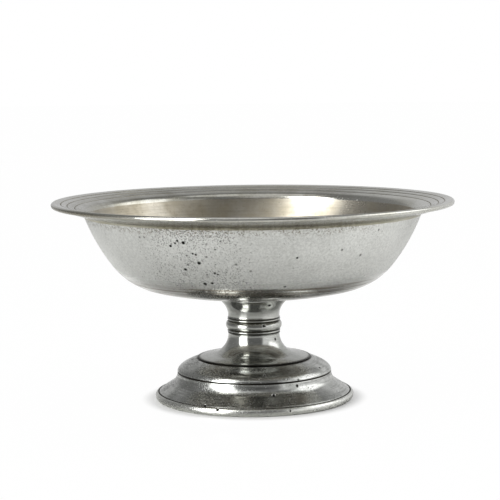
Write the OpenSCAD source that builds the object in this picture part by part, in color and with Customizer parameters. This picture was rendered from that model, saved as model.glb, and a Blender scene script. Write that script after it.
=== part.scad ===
// Footed compote bowl in cast and turned pewter, soldered up from its turned pieces.
// The origin is the middle of the foot's underside, on the table. +Z is up.
// Every piece is a turned ring or shell, so each is drawn as the outline of its half section.

/* [Overall] */
// Diameter over the rounded edge of the rim
rim_d = 280; // [268:1:292]
// Height of the stem and the foot together, from the table to the well
pedestal_h = 72.2; // [60:1:100]
// Diameter of the base ring, the widest part of the foot
base_d = 139.4; // [124:0.2:160]

/* [Rim] */
// Width of the flange, from the outside of the well to the rounded edge
flange_w = 22.3; // [21.6:0.1:26]
// Radius of the rounded edge
edge_r = 1.7; // [1.3:0.1:2.1]
// Thickness of the flange over its joint with the well, measured upright
flange_t = 3.6; // [3:0.1:4.6]
// Height of the top face over the middle of the edge, at the first incised line
shoulder_rise = 0.8; // [0.4:0.1:1.2]
// Slope of the dished top face, in degrees
dish_slope = 16; // [13:1:18]
// Distance from the outer edge in to the first incised line
line_1_in = 6.8; // [5.5:0.1:7.4]
// Distance from the first incised line in to the second
line_gap_1 = 4.3; // [3.4:0.1:4.8]
// Distance from the second incised line in to the third
line_gap_2 = 5.3; // [4.4:0.1:5.6]
// Width of a line on the rim
rim_line_w = 0.9; // [0.6:0.1:1.2]
// Depth of a line on the rim
rim_line_depth = 0.5; // [0.3:0.1:0.8]
// Width of the round at the flange's inner edge
mouth_round = 4; // [2.5:0.1:4.4]

/* [Well] */
// Thickness of the well's wall
wall_t = 2.4; // [1.8:0.1:3]
// Outer radius of the arc that forms the side of the well
wall_arc_r = 132; // [120:1:145]
// Outer radius of the arc between the side and the floor
turn_arc_r = 45; // [36:1:54]
// Slope of the side at the joint with the flange, in degrees
wall_top_slope = 70; // [66:1:74]
// Slope where the side runs into the turn, in degrees
wall_foot_slope = 52; // [48:1:56]
// Slope where the turn runs into the floor, in degrees
floor_slope = 12; // [10:1:14]

/* [Stem] */
// Diameter of the stem at its neck, above and below the collar
neck_d = 36; // [32:0.1:40]
// How far the stem's top spreads beyond its neck
stem_spread = 6.2; // [5:0.1:8]
// Width of the landing turned under the well that shows outside the stem's top
landing_margin = 0.3; // [0.1:0.1:1]
// Radius of the cove under the stem's flared top, as a share of the largest that fits
neck_cove_share = 0.87; // [0.6:0.01:0.98]
// Thickness of the flared top at its edge
stem_lip_t = 1.4; // [1:0.1:1.8]
// Widening of the stem where it meets the collar
toe_w = 0.4; // [0.2:0.1:0.6]
// Height of that widening
toe_h = 1; // [0.6:0.1:1.4]
// Width of the stem's top outside the recess for the well's boss
stem_rim_w = 3.6; // [3:0.1:4.4]
// Height of the boss under the well
boss_h = 1.5; // [1.2:0.1:1.8]
// Step from the neck in to the spigot that enters the collar
spigot_step = 1.2; // [0.9:0.1:1.6]
// Thickness of the spigots' walls
spigot_wall = 1.8; // [1.4:0.1:2.2]

/* [Collar] */
// How far the collar's two thin reeds stand out from the neck
reed_out = 0.6; // [0.4:0.1:1]
// Height of a reed
reed_h = 1.4; // [1.2:0.1:2]
// How far the collar's round band stands out from the neck
band_out = 1.65; // [1.2:0.05:2.8]
// Height of the band
band_h = 5.6; // [4.4:0.1:6]
// Depth of a groove below the neck's surface
groove_cut = 0.15; // [0.05:0.05:0.3]
// Width of a groove
groove_w = 0.6; // [0.4:0.1:0.8]

/* [Foot] */
// Height of the flared lower stem, as a share of pedestal_h
flare_share = 0.25; // [0.22:0.001:0.28]
// Radius of the lower stem's cove, as a share of the largest that fits
flare_cove_share = 0.91; // [0.6:0.01:0.98]
// Thickness of the spread edge
flare_edge_t = 0.5; // [0.3:0.1:0.8]
// Distance from the spread edge in to the hole in the foot
register_in = 4.3; // [3.6:0.1:5.2]
// Thickness of the lower stem's register, which stands in that hole
register_wall = 2.2; // [1.6:0.1:2.6]
// Width of the foot's dome
dome_w = 14.4; // [12.4:0.1:16.4]
// Height of the foot's dome, as a share of pedestal_h
dome_share = 0.133; // [0.12:0.001:0.15]
// Width of the skirt, from the line under the dome out to the lip
skirt_w = 13; // [11.4:0.1:14.6]
// Height of the skirt, as a share of pedestal_h
skirt_share = 0.203; // [0.19:0.001:0.23]
// Radius of the skirt's cove, as a share of the largest that fits
skirt_cove_share = 0.68; // [0.5:0.01:0.98]
// Height of the lip
lip_h = 1.3; // [0.9:0.1:1.8]
// Inward lean of the skirt above the lip
lip_step = 0.6; // [0.4:0.1:0.9]
// Thickness of the foot's wall
foot_wall = 2.6; // [2.2:0.1:3]
// Width of the line under the dome
foot_line_w = 1.2; // [0.8:0.1:1.6]
// Depth of that line
foot_line_depth = 0.7; // [0.4:0.1:0.9]

/* [Base ring] */
// Height of the base ring
ring_h = 5.4; // [4.4:0.1:6.4]
// Width of the ring's rounded outer side
ring_round = 1.8; // [1.4:0.1:2.2]
// Width of the flat on the ring's top, outside the foot
ring_flat = 0.5; // [0.3:0.1:1.2]
// Width of the ledge that the ring leaves inside the foot
ring_ledge = 1.5; // [0.8:0.1:3]
// Depth of the recess that the foot stands in
ring_recess = 0.6; // [0.4:0.1:0.9]

/* [Soldering] */
// Leg of the solder fillet under the flange
rim_seam_leg = 1.6; // [1:0.1:2.2]
// Leg of the solder fillets inside the stem and the foot
seam_leg = 1.3; // [0.9:0.1:1.5]
// Metal left bare beyond those fillets
seam_margin = 0.3; // [0.1:0.1:0.6]
// Height of the solder seam between the two spigots
spigot_seam_h = 0.6; // [0.4:0.1:0.9]
// Swell of that seam into the bore
spigot_seam_swell = 0.5; // [0.3:0.1:0.8]
// Gap that solder fills between a spigot and its socket
solder_gap = 0.05; // [0.02:0.01:0.1]
// Gap between the foot's lip and the edge of its recess
recess_gap = 0.2; // [0.1:0.1:0.4]
// Chamfer along the joints that show as dark lines
joint_chamfer = 0.5; // [0.3:0.1:0.7]

/* [Hidden] */
// Most that a straight piece of an outline may stand off its true arc
arc_sag = 0.02;
// Fewest straight pieces in an arc, and the number in a bend
min_steps = 4;
bend_steps = 12;
// Straight pieces round the axis
facets = 180;
// Where the bend's middle point lies in the box of the dome, from its upper inner corner
dome_bend_shares = [0.93, 0.44];
// How far a solder fillet is filled, from its corner to a straight face
fillet_bend_share = 0.5;
// Where the rounded edge runs into the flange's underside, in degrees below the level
undercut_angle = 120;

// Radii, from the rim in and from the base ring in
rim_r = rim_d / 2;
mouth_r = rim_r - flange_w;
line_1_r = rim_r - line_1_in;
line_2_r = line_1_r - line_gap_1;
line_3_r = line_2_r - line_gap_2;
neck_r = neck_d / 2;
spigot_r = neck_r - spigot_step;
bore_r = spigot_r - spigot_wall;
stem_wall = neck_r - bore_r;
collar_bore_r = spigot_r + solder_gap;
groove_r = neck_r - groove_cut;
stem_top_r = neck_r + stem_spread;
landing_r = stem_top_r + landing_margin;
socket_r = stem_top_r - stem_rim_w;
boss_r = socket_r - solder_gap;
base_r = base_d / 2;
recess_r = base_r - ring_round - ring_flat;
lip_r = recess_r - recess_gap;
waist_r = lip_r - skirt_w;
flare_r = waist_r - dome_w;
register_hole_r = flare_r - register_in;
register_r = register_hole_r - solder_gap;
register_in_r = register_r - register_wall;

// Heights, stacked from the table up. The upper stem fills what is left under the well
ring_seat_z = ring_h - ring_recess;
waist_z = ring_seat_z + skirt_share * pedestal_h;
foot_top_z = waist_z + dome_share * pedestal_h;
collar_z = foot_top_z + flare_share * pedestal_h;
collar_h = 2 * reed_h + band_h + 3 * groove_w;
spigot_h = (collar_h - spigot_seam_h) / 2;
stem_z = collar_z + collar_h;
seat_z = pedestal_h;
boss_z = seat_z - boss_h;
socket_z = boss_z - seam_leg - seam_margin;

// The well's section is three arcs, each tangent to the next. The floor's arc is centred on the axis
turn_top_r = mouth_r - wall_arc_r * (sin(wall_top_slope) - sin(wall_foot_slope));
floor_r = turn_top_r - turn_arc_r * (sin(wall_foot_slope) - sin(floor_slope));
floor_arc_r = floor_r / sin(floor_slope);
floor_c = [0, seat_z + sqrt(pow(floor_arc_r, 2) - pow(landing_r, 2))];
turn_c = floor_c + (floor_arc_r - turn_arc_r) * down_slope(floor_slope);
wall_c = turn_c + (turn_arc_r - wall_arc_r) * down_slope(wall_foot_slope);

// The well's mouth, where the flange stands on it
mouth = wall_c + wall_arc_r * down_slope(wall_top_slope);
mouth_in_slope = acos((wall_c.y - mouth.y) / (wall_arc_r - wall_t));
mouth_in = wall_c + (wall_arc_r - wall_t) * down_slope(mouth_in_slope);
rim_z = mouth.y + flange_t - shoulder_rise + (line_1_r - mouth_r) * tan(dish_slope);

// Unit vector square to a surface that has this slope, pointing down and out
function down_slope(slope) = [sin(slope), -cos(slope)];

// Point at distance d from a, on the way to b
function toward(a, b, d) = a + (b - a) * d / norm(b - a);

// Point at height z on the line through a and b
function at_height(a, b, z) = a + (b - a) * (z - a.y) / (b.y - a.y);

// All but the first point
function tail(path) = [for (i = [1:len(path) - 1]) path[i]];

// The same points in the other direction
function back(path) = [for (i = [len(path) - 1:-1:0]) path[i]];

// Number of straight pieces that keeps an arc within arc_sag
function steps(r, turn) = max(min_steps, ceil(abs(turn) / (2 * acos(1 - arc_sag / r))));

// Elliptical arc about c, from angle a0 to a1
function oval(c, rx, ry, a0, a1) =
    let (n = steps(max(rx, ry), a1 - a0))
    [for (i = [0:n]) let (a = a0 + (a1 - a0) * i / n) c + [rx * cos(a), ry * sin(a)]];

// Circular arc about c
function arc(c, r, a0, a1) = oval(c, r, r, a0, a1);

// Bend from a to b that leaves and arrives along its lines to m
function bend(a, m, b) =
    [for (i = [0:bend_steps]) let (t = i / bend_steps)
        pow(1 - t, 2) * a + 2 * t * (1 - t) * m + pow(t, 2) * b];

// Radius of a cove from neck to foot, as a share of the largest that neither misses nor passes foot
function cove_r(neck, foot, share) =
    let (run = foot.x - neck.x, rise = abs(foot.y - neck.y))
    share * (run < rise ? pow(norm([run, rise]), 2) / (2 * run) : rise);

// Hollow curve that starts upright at neck, turns outwards with radius r and runs straight to foot
function cove(neck, foot, r) =
    let (
        c = neck + [r, 0],
        lean = acos(r / norm(foot - c)),
        to_foot = atan2(foot.y - c.y, foot.x - c.x),
        end = foot.y < neck.y ? 360 + to_foot - lean : to_foot + lean
    )
    concat(arc(c, r, 180, end), [foot]);

// The path moved t to the right of its direction
function parallel(path, t) =
    let (last = len(path) - 1)
    [for (i = [0:last])
        let (d = path[min(i + 1, last)] - path[max(i - 1, 0)])
        path[i] + t * [d.y, -d.x] / norm(d)];

// Height of the flange's top face at radius r
function top_z(r) = rim_z + shoulder_rise - (line_1_r - r) * tan(dish_slope);

// Three points of a line incised in the flange's top face at radius r
function rim_line(r) =
    let (half = rim_line_w / 2)
    [[r + half, top_z(r + half)], [r, top_z(r) - rim_line_depth], [r - half, top_z(r - half)]];

// Section of a solder fillet in the corner k, with its ends at a and b
function fillet(k, a, b) =
    let (middle = (a + b) / 2)
    concat([k], bend(a, middle + (k - middle) * fillet_bend_share, b));

// The well's outer surface, from its landing up to the mouth
well_outside = concat(
    arc(floor_c, floor_arc_r, asin(landing_r / floor_arc_r) - 90, floor_slope - 90),
    tail(arc(turn_c, turn_arc_r, floor_slope - 90, wall_foot_slope - 90)),
    tail(arc(wall_c, wall_arc_r, wall_foot_slope - 90, wall_top_slope - 90))
);

// The well's inner surface, from the axis up to the mouth
well_inside = concat(
    arc(floor_c, floor_arc_r - wall_t, -90, floor_slope - 90),
    tail(arc(turn_c, turn_arc_r - wall_t, floor_slope - 90, wall_foot_slope - 90)),
    tail(arc(wall_c, wall_arc_r - wall_t, wall_foot_slope - 90, mouth_in_slope - 90))
);

// The rounded edge, from the flange's underside round to its top face
edge_round = arc([rim_r - edge_r, rim_z], edge_r, -undercut_angle, 90);

// The foot's dome, and the cove of its skirt below the line
dome_top = [flare_r + joint_chamfer, foot_top_z - joint_chamfer];
dome_foot = [waist_r, waist_z + foot_line_w / 2];
dome_span = dome_foot - dome_top;
dome_outside = bend(
    dome_top,
    dome_top + [dome_span.x * dome_bend_shares[0], dome_span.y * dome_bend_shares[1]],
    dome_foot
);
skirt_top = [waist_r, waist_z - foot_line_w / 2];
skirt_foot = [lip_r - lip_step, ring_seat_z + lip_h];
skirt_outside = cove(skirt_top, skirt_foot, cove_r(skirt_top, skirt_foot, skirt_cove_share));

// The foot's inner surface, cut off level at the base ring
foot_parallel = concat(parallel(dome_outside, foot_wall), parallel(skirt_outside, foot_wall));
foot_last = len(foot_parallel) - 1;
foot_in_foot = at_height(foot_parallel[foot_last - 1], foot_parallel[foot_last], ring_seat_z);
foot_inside = concat([for (i = [0:foot_last - 1]) foot_parallel[i]], [foot_in_foot]);
ring_in_r = foot_in_foot.x - seam_leg - ring_ledge;
register_z = foot_inside[0].y - seam_leg - seam_margin;

// Turns an outline about the axis
module turned(outline) {
    rotate_extrude($fn = facets) polygon(outline);
}

// The bowl's well, with a landing and a boss under it for the stem
module well() {
    color("#b7b7b3") turned(concat(
        [[0, boss_z], [boss_r, boss_z], [boss_r, seat_z]],
        well_outside,
        back(well_inside)
    ));
}

// The dished flange, with its rounded edge and three incised lines, standing on the well's mouth
module rim_flange() {
    wall_run = (top_z(mouth_in.x) - mouth_in.y)
        / (sin(mouth_in_slope) - cos(mouth_in_slope) * tan(dish_slope));
    corner = mouth_in + wall_run * [cos(mouth_in_slope), sin(mouth_in_slope)];
    round_r = mouth_in.x + mouth_round;
    color("#c3c2bb") turned(concat(
        [mouth_in, mouth],
        edge_round,
        rim_line(line_1_r),
        rim_line(line_2_r),
        rim_line(line_3_r),
        bend([round_r, top_z(round_r)], corner, toward(mouth_in, corner, joint_chamfer))
    ));
}

// Solder run into the corner between the flange and the well
module rim_solder() {
    color("#8d887a") turned(fillet(
        mouth,
        toward(mouth, edge_round[0], rim_seam_leg),
        toward(mouth, well_outside[len(well_outside) - 2], rim_seam_leg)
    ));
}

// Hollow upper stem: flared top under the well, spigot down into the collar
module upper_stem() {
    neck = [neck_r, stem_z + toe_h];
    top = [stem_top_r, seat_z - stem_lip_t];
    outer_r = cove_r(neck, top, neck_cove_share);
    inner_r = outer_r + stem_wall;
    cove_c = neck + [outer_r, 0];
    socket_angle = 180 - asin((socket_z - cove_c.y) / inner_r);
    color("#a8a8a4") turned(concat(
        [[bore_r, stem_z - spigot_h], [spigot_r, stem_z - spigot_h], [spigot_r, stem_z]],
        [[groove_r, stem_z], [neck_r + toe_w, stem_z + groove_w / 2]],
        cove(neck, top, outer_r),
        [[stem_top_r, seat_z], [socket_r, seat_z], [socket_r, socket_z]],
        arc(cove_c, inner_r, socket_angle, 180)
    ));
}

// Solder inside the stem's top, under the well's boss
module stem_solder() {
    corner = [socket_r, boss_z];
    color("#8d887a") turned(fillet(corner, corner - [seam_leg, 0], corner - [0, seam_leg]));
}

// Collar over the joint of the two stems: a round band between two thin reeds
module collar() {
    reed_1_z = collar_z + groove_w / 2 + reed_h / 2;
    band_z = collar_z + collar_h / 2;
    reed_2_z = stem_z - groove_w / 2 - reed_h / 2;
    color("#adada8") turned(concat(
        [[collar_bore_r, collar_z], [groove_r, collar_z]],
        oval([groove_r, reed_1_z], groove_cut + reed_out, reed_h / 2, -90, 90),
        oval([groove_r, band_z], groove_cut + band_out, band_h / 2, -90, 90),
        oval([groove_r, reed_2_z], groove_cut + reed_out, reed_h / 2, -90, 90),
        [[groove_r, stem_z], [collar_bore_r, stem_z]]
    ));
}

// Solder between the ends of the two spigots
module collar_solder() {
    bottom = collar_z + spigot_h;
    top = stem_z - spigot_h;
    color("#8d887a") turned(concat(
        [[collar_bore_r, bottom], [collar_bore_r, top]],
        oval([bore_r, (bottom + top) / 2], spigot_seam_swell, spigot_seam_h / 2, 90, 270)
    ));
}

// Hollow lower stem: spigot up into the collar, cove down to the foot, register in the foot's hole
module lower_stem() {
    neck = [neck_r, collar_z - toe_h];
    edge = [flare_r, foot_top_z + flare_edge_t];
    outer_r = cove_r(neck, edge, flare_cove_share);
    inner_r = outer_r + stem_wall;
    cove_c = neck + [outer_r, 0];
    reach = min(cove_c.x, register_in_r);
    inner_angle = 180 + acos((cove_c.x - reach) / inner_r);
    inner_foot = cove_c + inner_r * [cos(inner_angle), sin(inner_angle)];
    color("#a0a09c") turned(concat(
        [[bore_r, collar_z + spigot_h]],
        arc(cove_c, inner_r, 180, inner_angle),
        [[register_in_r, inner_foot.y], [register_in_r, register_z], [register_r, register_z]],
        [[register_r, foot_top_z], [flare_r - joint_chamfer, foot_top_z]],
        back(cove(neck, edge, outer_r)),
        [[neck_r + toe_w, collar_z - groove_w / 2], [groove_r, collar_z]],
        [[spigot_r, collar_z], [spigot_r, collar_z + spigot_h]]
    ));
}

// Solder under the foot's top, round the lower stem's register
module flare_solder() {
    corner = [register_r, foot_inside[0].y];
    color("#8d887a") turned(fillet(corner, corner - [0, seam_leg], corner + [seam_leg, 0]));
}

// Foot: a dome and a hollow skirt with a line turned between them
module foot() {
    color("#8f8f8b") turned(concat(
        [[register_hole_r, foot_inside[0].y]],
        foot_inside,
        [[lip_r, ring_seat_z], [lip_r, ring_seat_z + lip_h - lip_step]],
        back(skirt_outside),
        [[waist_r - foot_line_depth, waist_z]],
        back(dome_outside),
        [[flare_r - joint_chamfer, foot_top_z], [register_hole_r, foot_top_z]]
    ));
}

// Solder inside the foot, along the base ring
module base_solder() {
    color("#8d887a") turned(fillet(
        foot_in_foot,
        foot_in_foot - [seam_leg, 0],
        toward(foot_in_foot, foot_inside[foot_last - 1], seam_leg)
    ));
}

// Heavy ring that the foot stands in, with a rounded outer side
module base_ring() {
    color("#9c9c97") turned(concat(
        [[ring_in_r, 0]],
        oval([base_r - ring_round, ring_h / 2], ring_round, ring_h / 2, -90, 90),
        [[recess_r, ring_h], [recess_r, ring_seat_z], [ring_in_r, ring_seat_z]]
    ));
}

well();
rim_flange();
rim_solder();
upper_stem();
stem_solder();
collar();
collar_solder();
lower_stem();
flare_solder();
foot();
base_solder();
base_ring();
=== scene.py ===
# %% [markdown]
# # A footed pewter bowl
# The real bowl is cast and turned in pewter and soldered up from seven pieces: a deep well, a
# dished flange on its mouth, a short stem in two halves with a collar over their joint, a domed
# foot, and the heavy ring that the foot stands in.
# A construction model already fixes where each piece is. This lesson turns each piece again as a
# smooth surface, because a mirror-like metal shows every facet, and then gives it its finish.

# %% Load the construction model
from math import acos, asin, atan2, cos, degrees, pi, radians, sin, sqrt, tan

import bmesh
import bpy
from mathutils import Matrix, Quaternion, Vector, noise


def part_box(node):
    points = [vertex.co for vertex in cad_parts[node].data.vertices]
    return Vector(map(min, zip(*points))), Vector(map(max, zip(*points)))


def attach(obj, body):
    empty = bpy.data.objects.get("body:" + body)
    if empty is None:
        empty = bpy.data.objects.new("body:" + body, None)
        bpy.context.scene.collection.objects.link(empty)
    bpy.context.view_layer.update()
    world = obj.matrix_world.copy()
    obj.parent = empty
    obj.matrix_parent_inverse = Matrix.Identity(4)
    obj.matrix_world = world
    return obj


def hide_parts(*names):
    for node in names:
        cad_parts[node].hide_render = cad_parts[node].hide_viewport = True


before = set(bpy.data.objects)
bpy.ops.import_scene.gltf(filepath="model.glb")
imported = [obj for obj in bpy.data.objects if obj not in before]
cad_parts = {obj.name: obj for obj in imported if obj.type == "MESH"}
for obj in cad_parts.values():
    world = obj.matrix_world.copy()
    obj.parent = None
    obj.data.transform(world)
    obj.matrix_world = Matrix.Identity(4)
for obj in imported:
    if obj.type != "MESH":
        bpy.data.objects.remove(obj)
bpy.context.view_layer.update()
MM = 0.001

# %% [markdown]
# ## The sizes
# The sizes are in millimetres, as a turner would write them on a drawing. Radii are measured from
# the axis, heights from the table, and slopes in degrees. They are the same sizes that the
# construction model has.

# %% Sizes of the bowl
RIM_R = 140
EDGE_R = 1.7
EDGE_DROP = 0.8
MOUTH_R = RIM_R - 22.3
LINE_RADII = (RIM_R - 6.8, RIM_R - 11.1, RIM_R - 16.4)
LINE_W, LINE_DEPTH = 0.9, 0.5
DISH_SLOPE = 16
FLANGE_T = 3.6
FLANGE_ROUND = 4
WALL_T = 2.4
WALL_ARC_R, TURN_ARC_R = 132, 45
TOP_SLOPE, TURN_SLOPE, FLOOR_SLOPE = 70, 52, 12
SEAT_Z = 72.2
BOSS_H = 1.5
print("bowl: %.1f mm over the rim and %.1f mm over the mouth" % (2 * RIM_R, 2 * MOUTH_R))

# %% Sizes of the stem
NECK_R = 18
STEM_TOP_R = NECK_R + 6.2
STEM_LIP_H = 1.4
LANDING_R = STEM_TOP_R + 0.3
SOCKET_R = STEM_TOP_R - 3.6
BORE_R, SPIGOT_R, GROOVE_R = NECK_R - 3, NECK_R - 1.2, NECK_R - 0.15
NECK_LIP = 0.4
REED_OUT, REED_H = 0.6, 1.4
BAND_OUT, BAND_H = 1.65, 5.6
GROOVE_W = 0.6
print("stem: %.1f mm at the neck and %.1f mm at the top" % (2 * NECK_R, 2 * STEM_TOP_R))

# %% Sizes of the foot
RING_H, RING_SEAT_Z, RING_ROUND = 5.4, 4.8, 1.8
BASE_R = 69.7
RING_STEP_R = BASE_R - 2.3
RING_SHELF = 1.5
LIP_R = BASE_R - 2.5
LIP_H, LIP_TOP, LIP_IN = 0.7, 1.3, 0.6
WAIST_R = LIP_R - 13
WAIST_HALF_W, WAIST_DEPTH = 0.6, 0.7
FLARE_R = WAIST_R - 14.4
REGISTER_R, REGISTER_T = FLARE_R - 4.35, 2.2
WAIST_Z = RING_SEAT_Z + 0.203 * SEAT_Z
FOOT_TOP_Z = WAIST_Z + 0.133 * SEAT_Z
FOOT_WALL = 2.6
CHAMFER = 0.5
COLLAR_Z = FOOT_TOP_Z + 0.25 * SEAT_Z
STEM_Z = COLLAR_Z + 2 * REED_H + BAND_H + 3 * GROOVE_W
print("heights in mm: waist %.2f, foot's top %.2f, collar %.2f to %.2f" % (
    WAIST_Z, FOOT_TOP_Z, COLLAR_Z, STEM_Z))

# %% Sizes of the solder and the fits
SEAM, SEAM_GAP = 1.3, 0.3
SEAM_LEG = 1.6
SPIGOT_GAP = 0.6
FIT = 0.05

# %% [markdown]
# ## The camera
# The photograph was taken from just above the rim with a long lens. A long lens keeps the rim's
# ellipse flat, so the distance and the lens belong together. The photographer held the camera
# a little crooked, so the view is also rolled by a fraction of a degree.

# %% Camera
LENS_MM = 117.5
CAMERA_AT, SEES_TO = (0, -1.136, 0.2328), 20
aside, down, roll = radians(-0.11), radians(6.445), radians(-0.6)
camera = bpy.data.objects.new("camera", bpy.data.cameras.new("camera"))
bpy.context.scene.collection.objects.link(camera)
bpy.context.scene.camera = camera
camera.data.lens = LENS_MM
camera.data.clip_end = SEES_TO
camera.location = CAMERA_AT
looking = Vector((sin(aside) * cos(down), cos(aside) * cos(down), -sin(down)))
camera.rotation_mode = "QUATERNION"
camera.rotation_quaternion = looking.to_track_quat("-Z", "Y") @ Quaternion((0, 0, 1), roll)
print("camera looks down by %.2f degrees" % degrees(down))

# %% [markdown]
# ## One way to make nodes
# Every finish and the light are node trees. This small function adds one node. Settings are the
# node's own properties. Inputs are given by name or number, as a value or as another node's output.

# %% Colours and nodes
def tone(hex_colour):
    """A colour as painters write it, turned to the linear light that the renderer adds up."""
    parts = [int(hex_colour[i:i + 2], 16) / 255 for i in (1, 3, 5)]
    return [p / 12.92 if p <= 0.04045 else ((p + 0.055) / 1.055) ** 2.4 for p in parts] + [1]

def add(tree, kind, inputs=None, **settings):
    made = tree.nodes.new(kind)
    for name, value in settings.items():
        setattr(made, name, value)
    for socket, value in (inputs or {}).items():
        if isinstance(value, bpy.types.NodeSocket):
            tree.links.new(value, made.inputs[socket])
        else:
            made.inputs[socket].default_value = value
    return made

# %% [markdown]
# ## Masks
# A mask says where something is: 1 there, 0 elsewhere, and soft in between. Dirt, painted shade,
# wear, pits and the lights in the room are all masks, and these few ways of joining them are used
# throughout.

# %% Masks
def fade(tree, value, start, end):
    """0 before start, 1 after end, smooth between. Start may be the larger one."""
    return add(tree, "ShaderNodeMapRange", {"Value": value, "From Min": start, "From Max": end},
               interpolation_type="SMOOTHSTEP").outputs[0]

def overlap(tree, *masks):
    """What several masks share. A plain number among them makes the rest weaker."""
    shared = masks[0]
    for mask in masks[1:]:
        shared = add(tree, "ShaderNodeMath", {0: shared, 1: mask}, operation="MULTIPLY").outputs[0]
    return shared

def most(tree, *masks):
    """The largest of several masks."""
    top = masks[0]
    for mask in masks[1:]:
        top = add(tree, "ShaderNodeMath", {0: top, 1: mask}, operation="MAXIMUM").outputs[0]
    return top

def raised(tree, base, by, mask):
    """The base, raised by this much where the mask is 1."""
    return add(tree, "ShaderNodeMath", {0: mask, 1: by, 2: base},
               operation="MULTIPLY_ADD").outputs[0]

def gap(tree, value, mark):
    """How far a value lies from a mark, on either side of it."""
    past = add(tree, "ShaderNodeMath", {0: value, 1: mark}, operation="SUBTRACT").outputs[0]
    return add(tree, "ShaderNodeMath", {0: past}, operation="ABSOLUTE").outputs[0]

# %% [markdown]
# ## Light
# Polished metal has hardly any colour of its own: it shows the room. The photograph's reflections
# tell what the room was like, and it is drawn on the world by direction, since it is far away.
# A direction is given by two angles in degrees: round the room from the front, where the camera
# stands, positive to the right, and up from the horizon.

# %% Directions in the room
bpy.context.scene.view_settings.view_transform = "Standard"
world = bpy.data.worlds.new("studio")
bpy.context.scene.world = world
world.use_nodes = True
sky = world.node_tree
sky.nodes.clear()
way = add(sky, "ShaderNodeSeparateXYZ", {0: add(sky, "ShaderNodeTexCoord").outputs["Generated"]})
frontwards = add(sky, "ShaderNodeMath", {0: way.outputs["Y"], 1: -1.0}, operation="MULTIPLY")
from_front = add(sky, "ShaderNodeMath", {0: way.outputs["X"], 1: frontwards.outputs[0]},
                 operation="ARCTAN2").outputs[0]
height = add(sky, "ShaderNodeMath", {0: way.outputs["Z"]}, operation="ARCSINE").outputs[0]

# %% [markdown]
# ### Walls and ceiling
# The camera's side of the room was dark, the right side was a pale wall, and a white sweep closed
# the back. The walls fade upwards into a dim ceiling. Straight overhead it is bright again, which
# only the rim's edge and the inside of the well can see.

# %% Walls and ceiling
WALLS = ((-180, 0.6), (-152, 0.55), (-138, 0.36), (-122, 0.29), (-100, 0.27), (-80, 0.31),
         (-66, 0.36), (-30, 0.22), (-18, 0.19), (28, 0.19), (35, 0.25), (43, 1.1), (60, 1.2),
         (85, 1.22), (120, 1.05), (150, 0.8), (180, 0.6))
CEILING, OVERHEAD = 0.28, 0.95
CEILING_ANGLES, OVERHEAD_ANGLES = (18, 50), (60, 68)

def ring_of_light(stops):
    """How light the walls are all round, from pairs of degrees and light."""
    share = add(sky, "ShaderNodeMapRange", {"Value": from_front, "From Min": -pi, "From Max": pi})
    ramp = add(sky, "ShaderNodeValToRGB", {"Fac": share.outputs[0]})
    ramp.color_ramp.interpolation = "EASE"
    marks = ramp.color_ramp.elements
    while len(marks) > 1:
        marks.remove(marks[-1])
    for number, (degree, light) in enumerate(stops):
        mark = marks.new((degree + 180) / 360) if number else marks[0]
        mark.color = (light, light, light, 1)
    return ramp.outputs["Color"]

up_to_ceiling = fade(sky, height, *map(radians, CEILING_ANGLES))
room = add(sky, "ShaderNodeMapRange",
           {"Value": up_to_ceiling, "To Min": ring_of_light(WALLS), "To Max": CEILING}).outputs[0]
up_to_top = fade(sky, height, *map(radians, OVERHEAD_ANGLES))
room = add(sky, "ShaderNodeMapRange",
           {"Value": up_to_top, "To Min": room, "To Max": OVERHEAD}).outputs[0]
print("room: %d levels of light round the walls" % len(WALLS))

# %% [markdown]
# ### Lamps in the room
# A tall softbox stood to the left of the camera and burnt a white stripe into the stem. A dim
# strip hung above the camera, and the top of the right wall was brighter than the rest of it.
# Light that falls on something matt, which here is only the table, sees the whole room at half
# strength, or the table would glare back into the bowl. Camera rays see plain white.

# %% Softbox, strip and the top of the right wall
# In degrees: from left to right, how soft the sides are, from bottom to top, how soft the ends are.
SOFTBOX = (-66, -33, 3, -12, 53, 6)
STRIP = (-30, 12, 5, 42, 57, 4)
TOP_RIGHT = (72, 122, 8, 18, 52, 6)
SOFTBOX_LIGHT, SOFTBOX_ON_MATT, STRIP_LIGHT, TOP_RIGHT_LIGHT = 8.0, 7.0, 0.6, 1.5
ROOM_ON_MATT = 0.5

def band(angle, low, high, soft):
    """1 where an angle lies between low and high, with edges that are soft on both sides."""
    return overlap(sky, fade(sky, angle, radians(low - soft), radians(low + soft)),
                   fade(sky, angle, radians(high + soft), radians(high - soft)))

def panel(left, right, soft_side, bottom, top, soft_end):
    return overlap(sky, band(from_front, left, right, soft_side),
                   band(height, bottom, top, soft_end))

ray = add(sky, "ShaderNodeLightPath").outputs
softbox_light = add(sky, "ShaderNodeMapRange", {"Value": ray["Is Diffuse Ray"],
                    "To Min": SOFTBOX_LIGHT, "To Max": SOFTBOX_ON_MATT}).outputs[0]
dimmed = add(sky, "ShaderNodeMapRange", {"Value": ray["Is Diffuse Ray"],
             "To Min": 1.0, "To Max": ROOM_ON_MATT}).outputs[0]
room = raised(sky, room, STRIP_LIGHT, panel(*STRIP))
room = raised(sky, room, TOP_RIGHT_LIGHT, panel(*TOP_RIGHT))
room = raised(sky, room, softbox_light, panel(*SOFTBOX))
seen = add(sky, "ShaderNodeMix", {0: ray["Is Camera Ray"], 6: overlap(sky, room, dimmed),
           7: tone("#ffffff")}, data_type="RGBA").outputs[2]
background = add(sky, "ShaderNodeBackground", {"Color": seen})
add(sky, "ShaderNodeOutputWorld", {"Surface": background.outputs[0]})
print("light of the room: %d nodes" % len(sky.nodes))

# %% [markdown]
# ### Lamp over the table
# A large lamp overhead lights the table, so the bowl throws a soft shadow and its underside
# darkens towards the foot. It is kept out of reflections, because the photograph shows no such
# lamp in the collar or the foot.

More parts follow.
